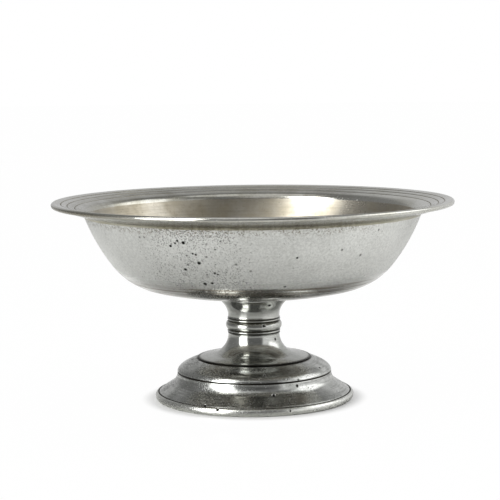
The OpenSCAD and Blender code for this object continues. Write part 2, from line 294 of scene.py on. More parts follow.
# %% Lamp over the table
LAMP_AT, LAMP_AIM = Vector((0.05, 0.05, 1.0)), Vector((0, 0, 0.05))
LAMP_SIZE, LAMP_WATTS = 1.1, 9.8
lamp = bpy.data.objects.new("overhead_lamp", bpy.data.lights.new("overhead_lamp", "AREA"))
bpy.context.scene.collection.objects.link(lamp)
lamp.data.shape = "DISK"
lamp.data.size = LAMP_SIZE
lamp.data.energy = LAMP_WATTS
lamp.location = LAMP_AT
lamp.rotation_mode = "QUATERNION"
lamp.rotation_quaternion = (LAMP_AIM - LAMP_AT).to_track_quat("-Z", "Y")
lamp.visible_glossy = False
print("lamp: %.1f W from a disk %.1f m across" % (LAMP_WATTS, LAMP_SIZE))

# %% [markdown]
# ## Table
# The table is a wide sheet of glossy acrylic. The bowl's side and the foot mirror it, and it
# mirrors the lights in turn. The photograph was exposed so brightly that the sheet is plain white
# in it, so camera rays see mostly white, with a little shade left close to the foot.

# %% Table
TABLE_R = 9
SHADE_R, WHITE_R = 0.069, 0.081
WHITE_AT_FOOT, WHITE_BEYOND = 0.35, 0.985
acrylic = bpy.data.materials.new("glossy_acrylic")
acrylic.use_nodes = True
sheet = acrylic.node_tree
gloss_coat = sheet.nodes["Principled BSDF"]
gloss_coat.inputs["Base Color"].default_value = tone("#d7d7d5")
gloss_coat.inputs["Roughness"].default_value = 0.1
from_axis = add(sheet, "ShaderNodeVectorMath",
                {0: add(sheet, "ShaderNodeTexCoord").outputs["Object"]}, operation="LENGTH")
washed_out = add(sheet, "ShaderNodeMapRange",
                 {"Value": from_axis.outputs["Value"], "From Min": SHADE_R, "From Max": WHITE_R,
                  "To Min": WHITE_AT_FOOT, "To Max": WHITE_BEYOND},
                 interpolation_type="SMOOTHSTEP").outputs[0]
to_camera = overlap(sheet, add(sheet, "ShaderNodeLightPath").outputs["Is Camera Ray"], washed_out)
white = add(sheet, "ShaderNodeEmission", {"Color": tone("#ffffff")}).outputs[0]
both = add(sheet, "ShaderNodeMixShader", {0: to_camera, 1: gloss_coat.outputs[0], 2: white})
sheet.links.new(both.outputs[0], sheet.nodes["Material Output"].inputs["Surface"])

table_mesh = bmesh.new()
bmesh.ops.create_circle(table_mesh, cap_ends=True, radius=TABLE_R, segments=128)
table = bpy.data.objects.new("table", bpy.data.meshes.new("table"))
table_mesh.to_mesh(table.data)
table_mesh.free()
table.data.materials.append(acrylic)
bpy.context.scene.collection.objects.link(table)
print("table: a disk %d m across" % (2 * TABLE_R))

# %% [markdown]
# ## Drawing an outline and turning it
# A turned piece is one outline swung round the axis, so that is how each one is made here. The
# outline is drawn in the plane of radius and height, as a chain of edges that grows from one
# vertex. A straight run is an extrusion of the last vertex, and an arc is a spin of it about the
# arc's centre. A quarter of an oval leaves a corner behind that a vertex bevel later rounds, and
# a small bevel takes the sharpness off a corner, as polishing does to the real metal.

# %% Outline of half a section
WELD = 0.002 * MM

class Outline:
    def __init__(self, r, z):
        self.drawing = bmesh.new()
        self.first = self.tip = self.drawing.verts.new((r * MM, 0, z * MM))
        self.worn, self.rounds = {}, {}

    def to(self, point, wear=0):
        """A straight run to a point. Wear is how far polishing has rounded the corner there."""
        self.tip = bmesh.ops.extrude_vert_indiv(self.drawing, verts=[self.tip])["verts"][0]
        self.tip.co = (point[0] * MM, 0, point[1] * MM)
        if wear:
            self.worn.setdefault(wear, []).append(self.tip)
        return self

    def path(self, *points):
        for point in points:
            self.to(point)
        return self

    def arc(self, centre, turn, steps, wear=0):
        """An arc about a centre. A turn in degrees is positive against the clock."""
        swept = bmesh.ops.spin(self.drawing, geom=[self.tip],
                               cent=(centre[0] * MM, 0, centre[1] * MM), axis=(0, -1, 0),
                               angle=radians(turn), steps=steps, use_duplicate=False)
        self.tip = [g for g in swept["geom_last"] if isinstance(g, bmesh.types.BMVert)][0]
        if wear:
            self.worn.setdefault(wear, []).append(self.tip)
        return self

    def quarter(self, corner, end, steps=8):
        """A quarter of an oval that sets off towards the corner and arrives from it."""
        self.to(corner)
        self.rounds.setdefault(steps, []).append(self.tip)
        return self.to(end)

    def bend(self, corner, end, halvings=2):
        """A longer curve towards the corner and from it, halved until the bevel draws it evenly."""
        start, corner, end = Vector(self.tip.co.xz) / MM, Vector(corner), Vector(end)
        if not halvings:
            return self.quarter(corner, end, 4)
        leave, arrive = (start + corner) / 2, (corner + end) / 2
        middle = (leave + arrive) / 2
        return self.bend(leave, middle, halvings - 1).bend(arrive, end, halvings - 1)

    def close(self):
        self.drawing.edges.new((self.tip, self.first))
        return self

    def finished(self):
        for reach, corners in self.worn.items():
            bmesh.ops.bevel(self.drawing, geom=corners, offset=reach * MM, offset_type="OFFSET",
                            segments=4, profile=0.5, affect="VERTICES", material=-1)
        for steps, corners in self.rounds.items():
            bmesh.ops.bevel(self.drawing, geom=corners, offset=100, offset_type="PERCENT",
                            segments=steps, profile=0.5, affect="VERTICES", material=-1,
                            clamp_overlap=False)
        bmesh.ops.remove_doubles(self.drawing, verts=self.drawing.verts, dist=WELD)
        return self.drawing

# %% [markdown]
# Swinging the outline round is one full spin whose last section merges with its first. The piece
# then stands for the construction model's node of the same name, and rides on its only body. A
# printed line sets the two sizes side by side.

# %% Turning an outline into a piece
STEPS_ROUND = 192
SHARP_CORNER = 32

def towards_axis(out, up):
    """Whether a face looks inwards or straight down, from how far its normal goes out and up."""
    return out < -0.01 or up < -0.99

def turn(name, outline, slot, *finishes, inner=towards_axis, uneven=None):
    """Swings an outline round the axis. The second finish, if any, goes on the inner faces.
    Uneven, if given, moves each point of the turned piece a little."""
    piece = outline.finished()
    bmesh.ops.spin(piece, geom=piece.verts[:] + piece.edges[:], cent=(0, 0, 0), axis=(0, 0, 1),
                   angle=2 * pi, steps=STEPS_ROUND, use_merge=True, use_duplicate=False)
    bmesh.ops.remove_doubles(piece, verts=piece.verts, dist=WELD)
    bmesh.ops.recalc_face_normals(piece, faces=piece.faces)
    if uneven:
        for vertex in piece.verts:
            vertex.co = uneven(vertex.co)
    if len(finishes) > 1:
        for face in piece.faces:
            out = face.normal.xy.dot(face.calc_center_median().xy.normalized())
            face.material_index = int(inner(out, face.normal.z))
    mesh = bpy.data.meshes.new(name)
    piece.to_mesh(mesh)
    piece.free()
    for finish in finishes:
        mesh.materials.append(finish)
    mesh.shade_smooth()
    mesh.set_sharp_from_angle(angle=radians(SHARP_CORNER))
    made = bpy.data.objects.new(name + "_turned", mesh)
    bpy.context.scene.collection.objects.link(made)
    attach(made, "root")
    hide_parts(name)
    low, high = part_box(name)
    heights = [v.co.z for v in mesh.vertices]
    print("%s: %d faces, radius %.3f of %.3f mm, height %.3f to %.3f of %.3f to %.3f mm" % (
        name, len(mesh.polygons), max(v.co.xy.length for v in mesh.vertices) / MM, high.x / MM,
        min(heights) / MM, max(heights) / MM, low.z / MM, high.z / MM))

# %% [markdown]
# ## Reading a place on the bowl
# Every finish follows the lathe. Marks run round the axis, dirt and painted shade sit at certain
# heights and in certain grooves, and wear sits where hands and cloths reach. So each material first
# works out the radius, the height and the direction of a point from its object coordinates, in
# millimetres.

# %% Where a point lies
def place_on(tree):
    coords = add(tree, "ShaderNodeTexCoord").outputs["Object"]
    mm = add(tree, "ShaderNodeVectorMath", {0: coords, 1: (1 / MM, 1 / MM, 1 / MM)},
             operation="MULTIPLY").outputs[0]
    flat = add(tree, "ShaderNodeVectorMath", {0: mm, 1: (1, 1, 0)},
               operation="MULTIPLY").outputs[0]
    r = add(tree, "ShaderNodeVectorMath", {0: flat}, operation="LENGTH").outputs["Value"]
    z = add(tree, "ShaderNodeSeparateXYZ", {0: mm}).outputs["Z"]
    out = add(tree, "ShaderNodeVectorMath", {0: flat}, operation="NORMALIZE").outputs[0]
    return {"mm": mm, "r": r, "z": z, "out": out}

def sideways(tree, place):
    """From -1 at the left of the bowl through 0 at its front to 1 at its right."""
    return add(tree, "ShaderNodeSeparateXYZ", {0: place["out"]}).outputs["X"]

def front(tree, place):
    """A mask for the front of the bowl, where the crease and the solder are painted darker, partly
    tarnish and partly painted shade.
    """
    side = sideways(tree, place)
    return overlap(tree, fade(tree, side, 0.7, 0.4), fade(tree, side, -0.62, -0.4))

# %% [markdown]
# ## Marks in the metal
# Three things break up the surface. Clouds are patches where the metal has dulled. Lathe marks
# are noise that is stretched round the axis. Pits come from the casting: small ones are the cells
# of a Voronoi pattern, and large ones are listed one by one in the places that the photograph
# shows.

# %% Clouds, lathe marks and pits
def blot(tree, place, size, low, high, detail=3.0, seed=0.0):
    """Cloudy patches of about this size in mm, from 0 to 1."""
    cloud = add(tree, "ShaderNodeTexNoise", {"Vector": place["mm"], "W": seed, "Scale": 1 / size,
                "Detail": detail, "Roughness": 0.6}, noise_dimensions="4D")
    return fade(tree, cloud.outputs["Fac"], low, high)

def lathe_marks(tree, place, across, along, seed=0.0):
    """Streaks that run round the axis: about across mm wide, and along mm long at the rim."""
    swirl = add(tree, "ShaderNodeVectorMath", {0: place["out"], "Scale": RIM_R / along},
                operation="SCALE").outputs[0]
    rings = add(tree, "ShaderNodeMath", {0: place["r"], 1: 1 / across}, operation="MULTIPLY")
    up = add(tree, "ShaderNodeCombineXYZ", {"Z": rings.outputs[0]}).outputs[0]
    where = add(tree, "ShaderNodeVectorMath", {0: swirl, 1: up}, operation="ADD").outputs[0]
    return add(tree, "ShaderNodeTexNoise",
               {"Vector": where, "W": raised(tree, seed, 1 / across, place["z"]), "Scale": 1.0,
                "Detail": 2.0, "Roughness": 0.6}, noise_dimensions="4D").outputs["Fac"]

def pits(tree, place, spacing, size, where, seed):
    """Small round pits, spacing mm apart and up to size mm wide, thinned out by a mask. The width
    goes with the square of an even chance, so that most of them are small."""
    moved = add(tree, "ShaderNodeVectorMath", {0: place["mm"], 1: (seed, seed, seed)},
                operation="ADD").outputs[0]
    cell = add(tree, "ShaderNodeTexVoronoi",
               {"Vector": moved, "Scale": 1 / spacing, "Randomness": 1.0})
    chance = add(tree, "ShaderNodeSeparateXYZ", {0: cell.outputs["Color"]}).outputs
    squared = overlap(tree, chance["X"], chance["X"])
    width = raised(tree, 0.001, size / spacing, squared)
    out = add(tree, "ShaderNodeMath", {0: cell.outputs["Distance"], 1: width}, operation="DIVIDE")
    deep = add(tree, "ShaderNodeMath", {0: 1.0, 1: out.outputs[0]}, operation="SUBTRACT")
    hollow = add(tree, "ShaderNodeMath", {0: deep.outputs[0], 1: 0.0, 2: 0.1},
                 operation="SMOOTH_MAX").outputs[0]
    kept = add(tree, "ShaderNodeMath", {0: chance["Y"], 1: where}, operation="LESS_THAN")
    return overlap(tree, hollow, kept.outputs[0])

def spot(tree, place, azimuth, r, z, size):
    """One pit at a known place. The azimuth is in degrees from the front, positive to the right."""
    at = (r * sin(radians(azimuth)), -r * cos(radians(azimuth)), z)
    away = add(tree, "ShaderNodeVectorMath", {0: place["mm"], 1: at}, operation="DISTANCE")
    return fade(tree, away.outputs["Value"], size / 2, size / 4)

# %% [markdown]
# ## Pewter
# Pewter is a tin alloy. Clean, it is a soft grey that reflects a little over half of the light.
# Left alone it darkens to a brown grey, most of all where no cloth reaches. Every finish below
# has the same build: two greys in clouds, lathe marks in the gloss and the surface, a fine grain,
# fine dark specks, larger pits, and a tarnish where the piece says so, which in places is partly
# painted shade. The real grain is finer than a pixel of the render, so grain and specks are drawn
# about 1 mm wide, as coarse as the photograph shows them.

# %% Sizes and tones of the marks
# Widths, lengths and the pits' depth are in mm. The specks' depth is a share of the pits' depth.
MARK_W, MARK_LENGTH = 1.1, 60
GRAIN_W, SPECK_W, PIT_DEPTH = 1.5, 1.0, 0.35
SPECK_START, SPECK_FULL, SPECK_GAIN, SPECK_SEED = 0.74, 0.82, 0.3, 40.0
SPECK_DARKNESS, SPECK_DEPTH = 0.55, 0.06
DULL_TONE, PIT_TONE = "#403f3d", "#1f1d1a"
# These are roughnesses: of metal left polished, and what dirt and lathe marks add.
LEFT_POLISHED, DIRT_ADDS, MARKS_ADD, MARKS_MEAN = 0.11, 0.25, 0.4, 0.05

# %% Pewter finish
def pewter(name, clean, cloudy, tarnish_and_shade, gloss, marks, grain, dirt_and_shade=None, pitted=None,
           speckled=0.1, cloud_size=30, streaky=0.2, mottled=0.1, polished=None):
    """Gloss is the roughness of the clean and the cloudy metal. Marks and grain are depths in mm.
    Streaky and mottled are how much the lathe marks and the grain show in the colour, and
    speckled, from 0 to 1, is how thickly the specks lie. Dirt and shade, pitted and polished, and
    speckled too where it varies, are functions that make a mask. Where the dirt and shade mask is
    1 the tarnish tone is laid, which some pieces use partly as painted shade."""
    finish = bpy.data.materials.new(name)
    finish.use_nodes = True
    tree = finish.node_tree
    shade = tree.nodes["Principled BSDF"]
    shade.inputs["Metallic"].default_value = 1.0
    place = place_on(tree)
    clouds = blot(tree, place, cloud_size, 0.35, 0.68)
    streaks = lathe_marks(tree, place, MARK_W, MARK_LENGTH)
    fine = add(tree, "ShaderNodeTexNoise", {"Vector": place["mm"], "Scale": 1 / GRAIN_W,
               "Detail": 2.0, "Roughness": 0.7}).outputs["Fac"]
    grit = add(tree, "ShaderNodeTexNoise", {"Vector": place["mm"], "W": SPECK_SEED,
               "Scale": 1 / SPECK_W, "Detail": 1.0, "Roughness": 0.5},
               noise_dimensions="4D").outputs["Fac"]
    thick = speckled(tree, place) if callable(speckled) else speckled
    specks = fade(tree, raised(tree, grit, SPECK_GAIN, thick), SPECK_START, SPECK_FULL)
    grime_and_shade = dirt_and_shade(tree, place) if dirt_and_shade else 0.0
    holes = pitted(tree, place) if pitted else 0.0

    # Colour: each mask lays its tone over what is there already.
    dull = overlap(tree, fade(tree, streaks, 0.4, 0.75), streaky)
    dull = raised(tree, dull, mottled, fade(tree, fine, 0.3, 0.7))
    dull = most(tree, dull, overlap(tree, specks, SPECK_DARKNESS))
    metal = tone(clean)
    # The dirt and shade mask lays the tarnish tone, in places partly as painted shade.
    for mask, colour in ((clouds, cloudy), (dull, DULL_TONE), (grime_and_shade, tarnish_and_shade), (holes, PIT_TONE)):
        metal = add(tree, "ShaderNodeMix", {0: mask, 6: metal, 7: tone(colour)},
                    data_type="RGBA").outputs[2]
    tree.links.new(metal, shade.inputs["Base Color"])

    # Gloss: marks roughen the metal, and so does the dirt and shade mask. What the marks add on
    # average is taken off again.
    rough = add(tree, "ShaderNodeMapRange",
                {"Value": clouds, "To Min": gloss[0], "To Max": gloss[1]}).outputs[0]
    if polished:
        rough = add(tree, "ShaderNodeMapRange", {"Value": polished(tree, place),
                    "To Min": rough, "To Max": LEFT_POLISHED}).outputs[0]
    rough = raised(tree, rough, MARKS_ADD * streaky, streaks)
    rough = raised(tree, rough, DIRT_ADDS, most(tree, grime_and_shade, holes, specks))
    rough = add(tree, "ShaderNodeMath", {0: rough, 1: MARKS_MEAN}, operation="SUBTRACT").outputs[0]
    tree.links.new(rough, shade.inputs["Roughness"])

    # Relief in mm: marks and grain stand up, pits and specks go down.
    relief = raised(tree, overlap(tree, streaks, marks), grain, fine)
    sunk = most(tree, holes, overlap(tree, specks, SPECK_DEPTH))
    relief = raised(tree, relief, -PIT_DEPTH, sunk)
    bump = add(tree, "ShaderNodeBump", {"Height": relief, "Distance": MM, "Strength": 1.0})
    tree.links.new(bump.outputs["Normal"], shade.inputs["Normal"])
    print("%s: %d nodes" % (name, len(tree.nodes)))
    return finish

# %% [markdown]
# ## The well
# The well is a shell of three arcs, each tangent to the next: a nearly flat floor, a tight turn
# and a steep side. Outside and inside are drawn about the same centres, which keeps the wall
# even. A flat landing and a low boss under the floor locate the stem. Both ends of the outline
# lie on the axis, so the spin's doubles there are merged into one pole.

# %% Arcs of the well
def down_slope(slope):
    """Unit vector square to a surface of this slope, pointing down and out."""
    return Vector((sin(radians(slope)), -cos(radians(slope))))

TURN_TOP_R = MOUTH_R - WALL_ARC_R * (down_slope(TOP_SLOPE).x - down_slope(TURN_SLOPE).x)
FLOOR_R = TURN_TOP_R - TURN_ARC_R * (down_slope(TURN_SLOPE).x - down_slope(FLOOR_SLOPE).x)
FLOOR_ARC_R = FLOOR_R / down_slope(FLOOR_SLOPE).x
FLOOR_C = Vector((0, SEAT_Z + sqrt(FLOOR_ARC_R ** 2 - LANDING_R ** 2)))
TURN_C = FLOOR_C + (FLOOR_ARC_R - TURN_ARC_R) * down_slope(FLOOR_SLOPE)
WALL_C = TURN_C + (TURN_ARC_R - WALL_ARC_R) * down_slope(TURN_SLOPE)
MOUTH = WALL_C + WALL_ARC_R * down_slope(TOP_SLOPE)
MOUTH_Z = MOUTH.y
IN_SLOPE = degrees(acos((WALL_C.y - MOUTH.y) / (WALL_ARC_R - WALL_T)))
MOUTH_IN = WALL_C + (WALL_ARC_R - WALL_T) * down_slope(IN_SLOPE)
print("the well's mouth is at radius %.3f and height %.3f mm" % (MOUTH.x, MOUTH.y))

# %% [markdown]
# ### Outside of the well
# The side was sanded to a satin and never polished like the foot, so it spreads the room's light
# into broad soft shades. It is light grey, with a field of fine specks and casting pits on the
# left of the front. A brown tarnish under the flange breaks up into crumbs and fades out to the
# right, and at the front the crease is painted darker, partly tarnish and partly painted shade.
# Low down, towards the stem, the lathe's polish was left, and long brown strokes darken it,
# partly tarnish and partly painted shade for the dark table that it mirrors. Each pit's place is
# its azimuth, radius, height and width.

# %% Satin pewter with pits
SIDE_PITS = (
    (-23, 113.6, 121.2, 3), (-28, 112.4, 118.7, 2.4), (-19, 106.3, 107.6, 3.2),
    (-25, 103.2, 102.8, 3), (-14, 101.9, 100.8, 2.2), (-13, 101.2, 100, 2),
    (-19, 95.8, 92.9, 3.4), (-16, 96.3, 93.5, 2.8), (-19.5, 109.6, 113.4, 2),
    (-20.5, 110, 114, 1.8), (-25, 114.1, 122.5, 2.1), (-26, 113.6, 120.7, 1.9),
    (15, 108.2, 110.9, 1.9))

def crease_tarnish_and_shade(tree, place):
    """A thin brown film close under the mouth at the front, partly tarnish and partly painted shade
    in the crease, crumbs of tarnish down to 11 mm below it, and dark strokes on the bottom, partly
    tarnish and partly painted shade. The depths are in mm, and all three are patchy."""
    below = add(tree, "ShaderNodeMath", {0: MOUTH_Z, 1: place["z"]}, operation="SUBTRACT")
    depth = below.outputs[0]
    patchy = blot(tree, place, 9, 0.3, 0.75, seed=3.0)
    # Painted shade and tarnish: a brown film in the crease, kept to the front.
    close = fade(tree, depth, raised(tree, 2.6, 2.0, patchy), raised(tree, 1.0, 1.0, patchy))
    crumbs = blot(tree, place, 1.3, 0.52, 0.6, detail=1.0, seed=4.0)
    reach = fade(tree, depth, raised(tree, 5.0, 6.0, patchy), 2.0)
    not_right = fade(tree, sideways(tree, place), 0.8, 0.5)
    # Painted shade and tarnish: long brown strokes that darken the bottom towards the stem.
    strokes = fade(tree, lathe_marks(tree, place, 2.2, 110, seed=60.0), 0.42, 0.58)
    low = fade(tree, place["z"], SEAT_Z + 18, SEAT_Z + 16)
    return most(tree, overlap(tree, close, front(tree, place), 0.12),
                overlap(tree, crumbs, reach, not_right, 0.6),
                overlap(tree, low, raised(tree, 0.15, 0.55, strokes)))

def front_left(tree, place):
    """A soft patch 100 mm wide, like one very large pit."""
    return spot(tree, place, -20, 106, 109, 100)

def side_specks(tree, place):
    """Thickest under the flange, near the bottom and on the left of the front."""
    top = fade(tree, place["z"], MOUTH_Z - 16, MOUTH_Z - 2)
    low = fade(tree, place["z"], SEAT_Z + 32, SEAT_Z + 12)
    level = raised(tree, raised(tree, 0.12, 0.4, front_left(tree, place)), 0.2,
                   most(tree, top, low))
    return raised(tree, level, 0.2, blot(tree, place, 14, 0.35, 0.65, seed=8.0))

def side_pits(tree, place):
    """Many small pits on the left of the front, few elsewhere, and the large ones."""
    field = raised(tree, 0.03, 0.6, front_left(tree, place))
    return most(tree, pits(tree, place, 3.1, 1.4, field, 17.0),
                *[spot(tree, place, *at) for at in SIDE_PITS])

def low_polish(tree, place):
    return fade(tree, place["z"], SEAT_Z + 22, SEAT_Z + 18)

satin_pewter = pewter("satin_pewter", "#dcddda", "#d0d1ce", "#5e4e33", (0.36, 0.42),
                      marks=0.004, grain=0.035, dirt_and_shade=crease_tarnish_and_shade, pitted=side_pits,
                      speckled=side_specks, cloud_size=45, streaky=0.04, mottled=0.22,
                      polished=low_polish)

# %% [markdown]
# ### Inside of the well
# The inside was left as it came off the lathe, and its marks draw the light out into soft rings.
# Its greys are warmer and darker than the outside's, partly a stain from use and partly painted
# shade with a warm painted reflection, and in patches they darken further towards the floor.

# %% Turned pewter, stained and with painted shade
STAIN_SHADE_TOP_Z, STAIN_SHADE_FULL_Z = 110, 78

def stain_and_shade(tree, place):
    # Painted shade and stain: a warmer tone in patches, heavier towards the floor.
    patchy = overlap(tree, blot(tree, place, 16, 0.45, 0.75, seed=9.0), 0.25)
    return raised(tree, patchy, 0.25, fade(tree, place["z"], STAIN_SHADE_TOP_Z, STAIN_SHADE_FULL_Z))

turned_inside = pewter("turned_pewter_inside", "#aba69a", "#989180", "#4a3d28", (0.28, 0.38),
                       marks=0.030, grain=0.015, dirt_and_shade=stain_and_shade, speckled=0.25)

# %% Turn the well
def faces_up(out, up):
    return up > 0.05

well_outline = (Outline(0, SEAT_Z - BOSS_H)
    .to((SOCKET_R - FIT, SEAT_Z - BOSS_H), wear=0.3)
    .to((SOCKET_R - FIT, SEAT_Z))
    .to((LANDING_R, SEAT_Z))
    .arc(FLOOR_C, FLOOR_SLOPE - degrees(asin(LANDING_R / FLOOR_ARC_R)), 20)
    .arc(TURN_C, TURN_SLOPE - FLOOR_SLOPE, 28)
    .arc(WALL_C, TOP_SLOPE - TURN_SLOPE, 28)
    .to(MOUTH_IN)
    .arc(WALL_C, TURN_SLOPE - IN_SLOPE, 28)
    .arc(TURN_C, FLOOR_SLOPE - TURN_SLOPE, 28)
    .arc(FLOOR_C, -FLOOR_SLOPE, 28))
turn("well", well_outline, "bowl_pewter", satin_pewter, turned_inside, inner=faces_up)

# %% [markdown]
# ## The flange
# The flange stands on the well's mouth. Its edge is a full round, its top face falls towards the
# well, and three lines are cut into it. Each line is a narrow V with its corners polished off.
# At the well, the top face bends down into the inner wall.

# %% Section of the flange
RIM_Z = (MOUTH.y + FLANGE_T - EDGE_DROP
         + (LINE_RADII[0] - MOUTH_R) * tan(radians(DISH_SLOPE)))

def top_z(r):
    """Height of the flange's top face."""
    return RIM_Z + EDGE_DROP - (LINE_RADII[0] - r) * tan(radians(DISH_SLOPE))

edge_centre = Vector((RIM_R - EDGE_R, RIM_Z))
under_edge = edge_centre + EDGE_R * Vector((cos(radians(-120)), sin(radians(-120))))
flange_outline = Outline(*MOUTH_IN).to(MOUTH).to(under_edge).arc(edge_centre, 210, 24)
for line_r in LINE_RADII:
    flange_outline.to((line_r + LINE_W / 2, top_z(line_r + LINE_W / 2)), wear=0.12)
    flange_outline.to((line_r, top_z(line_r) - LINE_DEPTH), wear=0.18)
    flange_outline.to((line_r - LINE_W / 2, top_z(line_r - LINE_W / 2)), wear=0.12)
wall_up = Vector((cos(radians(IN_SLOPE)), sin(radians(IN_SLOPE))))
to_corner = (top_z(MOUTH_IN.x) - MOUTH_IN.y) / (wall_up.y - wall_up.x * tan(radians(DISH_SLOPE)))
corner = MOUTH_IN + to_corner * wall_up
round_r = MOUTH_IN.x + FLANGE_ROUND
flange_outline.to((round_r, top_z(round_r)))
flange_outline.bend(corner, MOUTH_IN + (corner - MOUTH_IN).normalized() * CHAMFER).close()
print("the flange's edge is at height %.3f mm" % RIM_Z)

# %% [markdown]
# ### Finish of the flange
# The flange has more polish than the side, so light runs round its edge in a thin bright line.
# The lines were left black with wax and dirt, which is how such work is finished, and the wax has
# come away here and there. Under the edge the metal is painted brown in patches, partly tarnish
# and partly painted shade under the edge, and at the left the edge itself is painted darker and
# browner.

# %% Waxed rim
def line_wax_and_shade(tree, place):
    """Wax in the lines, brown patches under the edge that are partly tarnish and partly painted
    shade, and a darker, browner edge at the left.
    """
    side = sideways(tree, place)
    lines = [fade(tree, gap(tree, place["r"], line_r), 0.55 - 0.06 * number, 0.2)
             for number, line_r in enumerate(LINE_RADII)]
    left_in = raised(tree, 0.65, 0.35, blot(tree, place, 12, 0.35, 0.6, seed=5.0))
    above = fade(tree, place["z"], MOUTH_Z + 1.5, MOUTH_Z + 2.5)
    wax = overlap(tree, most(tree, *lines), left_in, above)
    # Painted shade and tarnish: brown patches under the edge, not on the right.
    patchy = raised(tree, 0.1, 0.3, blot(tree, place, 14, 0.3, 0.7, seed=6.0))
    under = overlap(tree, fade(tree, place["z"], RIM_Z - 0.1, RIM_Z - 0.9), patchy,
                    fade(tree, side, 0.75, 0.45))
    # The edge is painted darker and browner at the left.
    edge = overlap(tree, fade(tree, side, -0.5, -0.75),
                   fade(tree, place["z"], RIM_Z + 1.3, RIM_Z + 0.3), 0.6,
                   fade(tree, place["r"], RIM_R - 2.4, RIM_R - 1.2))
    return most(tree, wax, under, edge)

waxed_rim = pewter("turned_pewter_rim", "#cbcbc5", "#bebdb3", "#5f563c", (0.12, 0.18),
                   marks=0.012, grain=0.01, dirt_and_shade=line_wax_and_shade, speckled=0.3, streaky=0.15,
                   mottled=0.15)
turn("rim_flange", flange_outline, "rim_pewter", waxed_rim)

# %% [markdown]
# ## The solder under the flange
# Solder was run into the corner between the flange and the well. It is softer and duller than
# pewter, and a rag doesn't reach it. At the front it is painted darker in patches, partly tarnish
# and partly painted shade in the corner. Real solder is uneven, so after the turning each point is
# drawn back a little towards the corner by smooth noise.

# %% Dull solder
def solder_tarnish_and_shade(tree, place):
    # Painted shade and tarnish: dark patches at the front of the corner.
    return overlap(tree, front(tree, place),
                   raised(tree, 0.15, 0.4, blot(tree, place, 3, 0.4, 0.6)))

dull_solder = pewter("dull_solder", "#bdbaab", "#aca894", "#4a412c", (0.4, 0.5),
                     marks=0.0, grain=0.06, dirt_and_shade=solder_tarnish_and_shade)

# %% The seam under the flange
FULLNESS, UNEVENNESS = 0.84, 0.16
WAVES_ROUND, WAVES_UP = 14, 200

def fillet(corner, a, b):
    """Section of a seam in a corner, with its ends at a and b and a hollow face between them."""
    middle = (a + b) / 2
    return Outline(*corner).to(a).bend(middle + (corner - middle) * 0.5, b).close()

def drawn_back(point):
    flat = point.xy.normalized()
    root = Vector((flat.x * MOUTH.x * MM, flat.y * MOUTH.x * MM, MOUTH.y * MM))
    wave = noise.noise(Vector((flat.x * WAVES_ROUND, flat.y * WAVES_ROUND, point.z * WAVES_UP)))
    return root + (point - root) * (FULLNESS + UNEVENNESS * wave)

along_flange = MOUTH + (under_edge - MOUTH).normalized() * SEAM_LEG
down_wall = WALL_C + WALL_ARC_R * down_slope(TOP_SLOPE - degrees(SEAM_LEG / WALL_ARC_R))
turn("rim_solder", fillet(MOUTH, along_flange, down_wall), "solder", dull_solder,
     uneven=drawn_back)

# %% [markdown]
# ## The stem
# The stem is in two hollow halves. Each one spreads from the neck in a cove: an arc that leaves
# the neck upright and runs out straight to the edge. The cove's radius is a share of the largest
# that fits between the neck and the edge. The inner wall follows the same centre.

# %% The cove
def cove(neck, foot, share):
    """Centre, radius, turn in degrees from the neck, and where the straight part starts."""
    run, rise = foot.x - neck.x, abs(foot.y - neck.y)
    radius = share * ((run ** 2 + rise ** 2) / (2 * run) if run < rise else rise)
    centre = neck + Vector((radius, 0))
    away = foot - centre
    lean = degrees(acos(radius / away.length))
    to_foot = degrees(atan2(away.y, away.x))
    end = 360 + to_foot - lean if foot.y < neck.y else to_foot + lean
    straight_from = centre + radius * Vector((cos(radians(end)), sin(radians(end))))
    return centre, radius, end - 180, straight_from

# %% [markdown]
# ### Finish of the stem
# The stem was polished, so it mirrors the softbox as a white stripe. Wax and dirt are black where
# the stem meets the collar and in the collar's grooves. Under the well and round the foot of the
# flare it is painted black too, partly dirt in the joints and partly painted shade where the
# pieces meet. The inside was never touched after casting: it is rough, dull and tarnished.

# %% Polished and cast pewter
STEM_PITS = ((30, 21.7, 67.8, 2.8), (54, 18.3, 42.9, 2.4), (20, 19.4, 53.5, 2.2),
             (23, 19.4, 53.4, 1.8))
COLLAR_GROOVES = (COLLAR_Z, COLLAR_Z + GROOVE_W + REED_H, STEM_Z - GROOVE_W - REED_H, STEM_Z)

def groove_dirt_and_shade(tree, place):
    """Dirt in the grooves and just beside them, and black under the well and at the foot of the
    flare, partly dirt and partly painted shade.
    """
    grooves = [fade(tree, gap(tree, place["z"], z), 0.75, 0.2) for z in COLLAR_GROOVES]
    deep = overlap(tree, most(tree, *grooves),
                   fade(tree, place["r"], NECK_R + 0.75, NECK_R + 0.1))
    # Painted shade and dirt: black in the joints under the well and at the foot of the flare.
    top = overlap(tree, fade(tree, place["z"], SEAT_Z - 1.2, SEAT_Z - 0.1), 0.8)
    low = overlap(tree, fade(tree, place["z"], FOOT_TOP_Z + 1.0, FOOT_TOP_Z + 0.6), 0.95)
    return most(tree, deep, top, low)

def stem_pits(tree, place):
    return most(tree, pits(tree, place, 3.6, 1.0, 0.12, 31.0),
                *[spot(tree, place, *at) for at in STEM_PITS])

def cast_tarnish(tree, place):
    return overlap(tree, blot(tree, place, 10, 0.35, 0.7), 0.6)

polished_stem = pewter("polished_pewter_stem", "#bebfbb", "#adafaa", "#2b2820", (0.14, 0.20),
                       marks=0.012, grain=0.006, dirt_and_shade=groove_dirt_and_shade, pitted=stem_pits,
                       speckled=0.12, cloud_size=22, streaky=0.15, mottled=0.15)
cast_inside = pewter("cast_pewter_inside", "#8b877c", "#77725f", "#3c3527", (0.45, 0.55),
                     marks=0.0, grain=0.09, dirt_and_shade=cast_tarnish)

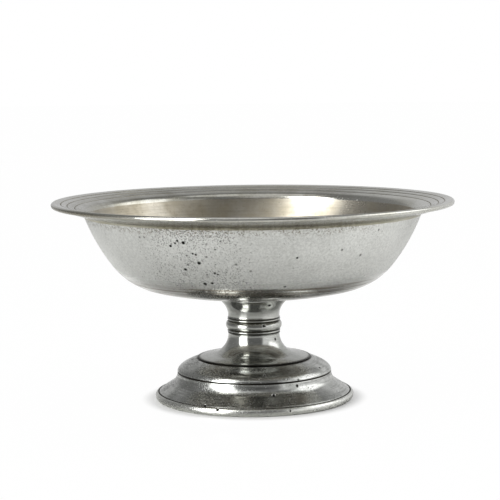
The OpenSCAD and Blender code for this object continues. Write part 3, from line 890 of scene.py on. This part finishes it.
# %% [markdown]
# ### The upper stem
# It flares to a small upright lip under the well, and a spigot at its lower end fits the collar.
# A shallow socket in its top takes the boss under the well.

# %% Turn the upper stem
neck_top = Vector((NECK_R, STEM_Z + 1))
stem_lip = Vector((STEM_TOP_R, SEAT_Z - STEM_LIP_H))
upper_c, upper_r, upper_turn, _ = cove(neck_top, stem_lip, share=0.87)
socket_z = SEAT_Z - BOSS_H - SEAM - SEAM_GAP
inner_r = upper_r + NECK_R - BORE_R
socket_turn = degrees(asin((socket_z - upper_c.y) / inner_r))
spigot_h = (STEM_Z - COLLAR_Z - SPIGOT_GAP) / 2
upper_outline = (Outline(BORE_R, STEM_Z - spigot_h)
    .path((SPIGOT_R, STEM_Z - spigot_h), (SPIGOT_R, STEM_Z), (GROOVE_R, STEM_Z))
    .to((NECK_R + NECK_LIP, STEM_Z + GROOVE_W / 2), wear=0.12)
    .to(neck_top).arc(upper_c, upper_turn, 24).to(stem_lip, wear=0.3)
    .path((STEM_TOP_R, SEAT_Z), (SOCKET_R, SEAT_Z), (SOCKET_R, socket_z))
    .to(upper_c + inner_r * Vector((-cos(radians(socket_turn)), sin(radians(socket_turn)))))
    .arc(upper_c, socket_turn, 20).close())
turn("upper_stem", upper_outline, "stem_pewter", polished_stem, cast_inside)

# %% [markdown]
# ### The collar
# A sleeve hides the joint of the two stem halves. A round band stands between two thin reeds,
# with a narrow groove on each side of them. Half an ellipse is two bends, a quarter each.

# %% Turn the collar
REED, BAND = (REED_OUT + NECK_R - GROOVE_R, REED_H), (BAND_OUT + NECK_R - GROOVE_R, BAND_H)
collar_outline = Outline(SPIGOT_R + FIT, COLLAR_Z).to((GROOVE_R, COLLAR_Z))
bottom = COLLAR_Z + GROOVE_W / 2
for swell, height_of in (REED, BAND, REED):
    middle, top = bottom + height_of / 2, bottom + height_of
    collar_outline.to((GROOVE_R, bottom))
    collar_outline.quarter((GROOVE_R + swell, bottom), (GROOVE_R + swell, middle))
    collar_outline.quarter((GROOVE_R + swell, top), (GROOVE_R, top))
    bottom = top + GROOVE_W
collar_outline.to((GROOVE_R, STEM_Z)).to((SPIGOT_R + FIT, STEM_Z)).close()
turn("collar", collar_outline, "stem_pewter", polished_stem)

# %% [markdown]
# ### The lower stem
# It spreads onto the foot, and a register under it drops into the hole in the foot's top. The
# register reaches to just below the dome's inner face, so the dome's section is drawn first: a
# bend whose corner lies well out, which gives the foot its square shoulder.

# %% Section of the dome
DOME_TOP = Vector((FLARE_R + CHAMFER, FOOT_TOP_Z - CHAMFER))
DOME_FOOT = Vector((WAIST_R, WAIST_Z + WAIST_HALF_W))
DOME_FALL = DOME_FOOT - DOME_TOP
DOME_CORNER = DOME_TOP + Vector((DOME_FALL.x * 0.93, DOME_FALL.y * 0.44))

def inward(a, b):
    """The step from an outer wall, drawn from a to b, to its inner face."""
    along = (b - a).normalized()
    return FOOT_WALL * Vector((along.y, -along.x))

dome_in_top = DOME_TOP + inward(DOME_TOP, DOME_CORNER)
register_z = dome_in_top.y - SEAM - SEAM_GAP
print("the register ends at height %.3f mm" % register_z)

# %% Turn the lower stem
neck_low = Vector((NECK_R, COLLAR_Z - 1))
flare_edge = Vector((FLARE_R, FOOT_TOP_Z + CHAMFER))
lower_c, lower_r, lower_turn, _ = cove(neck_low, flare_edge, share=0.91)
inner_r = lower_r + NECK_R - BORE_R
register_in = REGISTER_R - REGISTER_T
inner_turn = degrees(acos((lower_c.x - min(lower_c.x, register_in)) / inner_r))
inner_foot = lower_c - inner_r * Vector((cos(radians(inner_turn)), sin(radians(inner_turn))))
lower_outline = (Outline(BORE_R, COLLAR_Z + spigot_h)
    .path((SPIGOT_R, COLLAR_Z + spigot_h), (SPIGOT_R, COLLAR_Z), (GROOVE_R, COLLAR_Z))
    .to((NECK_R + NECK_LIP, COLLAR_Z - GROOVE_W / 2), wear=0.12)
    .to(neck_low).arc(lower_c, lower_turn, 32).to(flare_edge, wear=0.2)
    .path((FLARE_R - CHAMFER, FOOT_TOP_Z), (REGISTER_R, FOOT_TOP_Z),
          (REGISTER_R, register_z), (register_in, register_z), inner_foot)
    .arc(lower_c, -inner_turn, 24).close())
turn("lower_stem", lower_outline, "stem_pewter", polished_stem, cast_inside)

# %% [markdown]
# ## The foot
# The foot is one casting: a dome, a line turned round its waist, and a skirt that falls in a cove
# to a small upright lip. It is hollow, and its inner face was left as it came from the mould.
# It has the best polish of all and mirrors the room in dark and bright bands. Grey clouds and
# specks break the bands up, most of all at the left. The waist line and the joints are painted
# black, partly dirt and partly painted shade in the gaps.

# %% Polished pewter of the foot
FOOT_PITS = ((-30, 66.6, 6.1, 2.4), (-21, 69.3, 4.5, 2.6), (13, 57.4, 12.1, 3.2),
             (8, 50.2, 24.5, 2.2), (32, 54.5, 16.6, 2.4), (64, 50.2, 24.5, 2.2),
             (20, 69.7, 3.3, 2))

def waist_dirt_and_shade(tree, place):
    """Black in the line round the waist, in the joint with the stem and in that with the ring,
    partly dirt and partly painted shade.
    """
    # Painted shade and dirt: black in the waist line and in the gaps at the joints.
    waist = fade(tree, gap(tree, place["z"], WAIST_Z), 0.75, 0.45)
    joint = overlap(tree, fade(tree, place["z"], FOOT_TOP_Z - 0.7, FOOT_TOP_Z - 0.4), 0.95)
    ring = overlap(tree, fade(tree, gap(tree, place["r"], LIP_R + 0.2), 0.85, 0.55),
                   fade(tree, gap(tree, place["z"], RING_H - 0.3), 0.6, 0.45))
    return most(tree, waist, joint, ring)

def foot_specks(tree, place):
    clusters = raised(tree, 0.1, 0.5, blot(tree, place, 11, 0.35, 0.65, seed=11.0))
    return raised(tree, clusters, 0.25, fade(tree, sideways(tree, place), 0.0, -0.7))

def foot_pits(tree, place):
    return most(tree, pits(tree, place, 3.6, 1.2, 0.2, 53.0),
                *[spot(tree, place, *at) for at in FOOT_PITS])

polished_foot = pewter("polished_pewter_foot", "#c8c9c6", "#a5a7a3", "#2a2720", (0.10, 0.18),
                       marks=0.014, grain=0.006, dirt_and_shade=waist_dirt_and_shade, pitted=foot_pits,
                       speckled=foot_specks, cloud_size=11, streaky=0.45, mottled=0.12)

# %% Turn the foot
SKIRT_TOP = Vector((WAIST_R, WAIST_Z - WAIST_HALF_W))
SKIRT_FOOT = Vector((LIP_R - LIP_IN, RING_SEAT_Z + LIP_TOP))
skirt_c, _, skirt_turn, skirt_end = cove(SKIRT_TOP, SKIRT_FOOT, share=0.68)
dome_in_foot = DOME_FOOT + inward(DOME_CORNER, DOME_FOOT)
side_1, side_2 = inward(DOME_TOP, DOME_CORNER), inward(DOME_CORNER, DOME_FOOT)
dome_in_corner = DOME_CORNER + (side_1 + side_2) * FOOT_WALL ** 2 / (
    FOOT_WALL ** 2 + side_1.dot(side_2))
skirt_in_end = skirt_end + inward(skirt_end, SKIRT_FOOT)
skirt_in_foot = skirt_in_end + (SKIRT_FOOT - skirt_end) * (
    (skirt_in_end.y - RING_SEAT_Z) / (skirt_end.y - SKIRT_FOOT.y))
foot_outline = (Outline(REGISTER_R + FIT, dome_in_top.y)
    .to(dome_in_top)
    .bend(dome_in_corner, dome_in_foot)
    .to((WAIST_R - FOOT_WALL, SKIRT_TOP.y)).arc(skirt_c, skirt_turn, 14).to(skirt_in_foot)
    .to((LIP_R, RING_SEAT_Z)).to((LIP_R, RING_SEAT_Z + LIP_H), wear=0.35)
    .to(SKIRT_FOOT, wear=0.4)
    .to(skirt_end).arc(skirt_c, -skirt_turn, 16, wear=0.35)
    .to((WAIST_R - WAIST_DEPTH, WAIST_Z), wear=0.2).to(DOME_FOOT)
    .bend(DOME_CORNER, DOME_TOP, halvings=3)
    .to((FLARE_R - CHAMFER, FOOT_TOP_Z)).to((REGISTER_R + FIT, FOOT_TOP_Z)).close())
turn("foot", foot_outline, "foot_pewter", polished_foot, cast_inside)

# %% [markdown]
# ## The base ring
# The heavy ring has a rounded outer side and a step that the foot's lip stands in. Cloths and
# table tops have rubbed it, so it is less of a mirror than the foot. Its paler grey is painted
# light, for the bright table that it mirrors in front. It has the same dirt and painted shade,
# specks and pits.

# %% Turn the base ring
# Painted light: a paler grey than the foot, for the bright table in front of the ring.
rubbed_brightened_ring = pewter("rubbed_brightened_pewter_ring", "#dcddd8", "#d0d1cb", "#2a2720", (0.2, 0.28),
                   marks=0.014, grain=0.012, dirt_and_shade=waist_dirt_and_shade, pitted=foot_pits,
                   speckled=foot_specks, cloud_size=26, streaky=0.2, mottled=0.2)
ring_in_r = skirt_in_foot.x - SEAM - RING_SHELF
ring_outline = (Outline(ring_in_r, 0).to((BASE_R - RING_ROUND, 0))
    .quarter((BASE_R, 0), (BASE_R, RING_H / 2), 12)
    .quarter((BASE_R, RING_H), (BASE_R - RING_ROUND, RING_H), 12)
    .to((RING_STEP_R, RING_H), wear=0.12)
    .path((RING_STEP_R, RING_SEAT_Z), (ring_in_r, RING_SEAT_Z)).close())
turn("base_ring", ring_outline, "foot_pewter", rubbed_brightened_ring, cast_inside)

# %% [markdown]
# ## The solder inside
# The other four seams are out of sight unless the bowl is turned over. The construction model's
# own shapes are right for them, so they only get the dull finish.

# %% Finish of the seams inside
for name in ("stem_solder", "collar_solder", "flare_solder", "base_solder"):
    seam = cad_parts[name]
    seam.data.materials.clear()
    seam.data.materials.append(dull_solder)
    print("%s: %s" % (name, dull_solder.name))
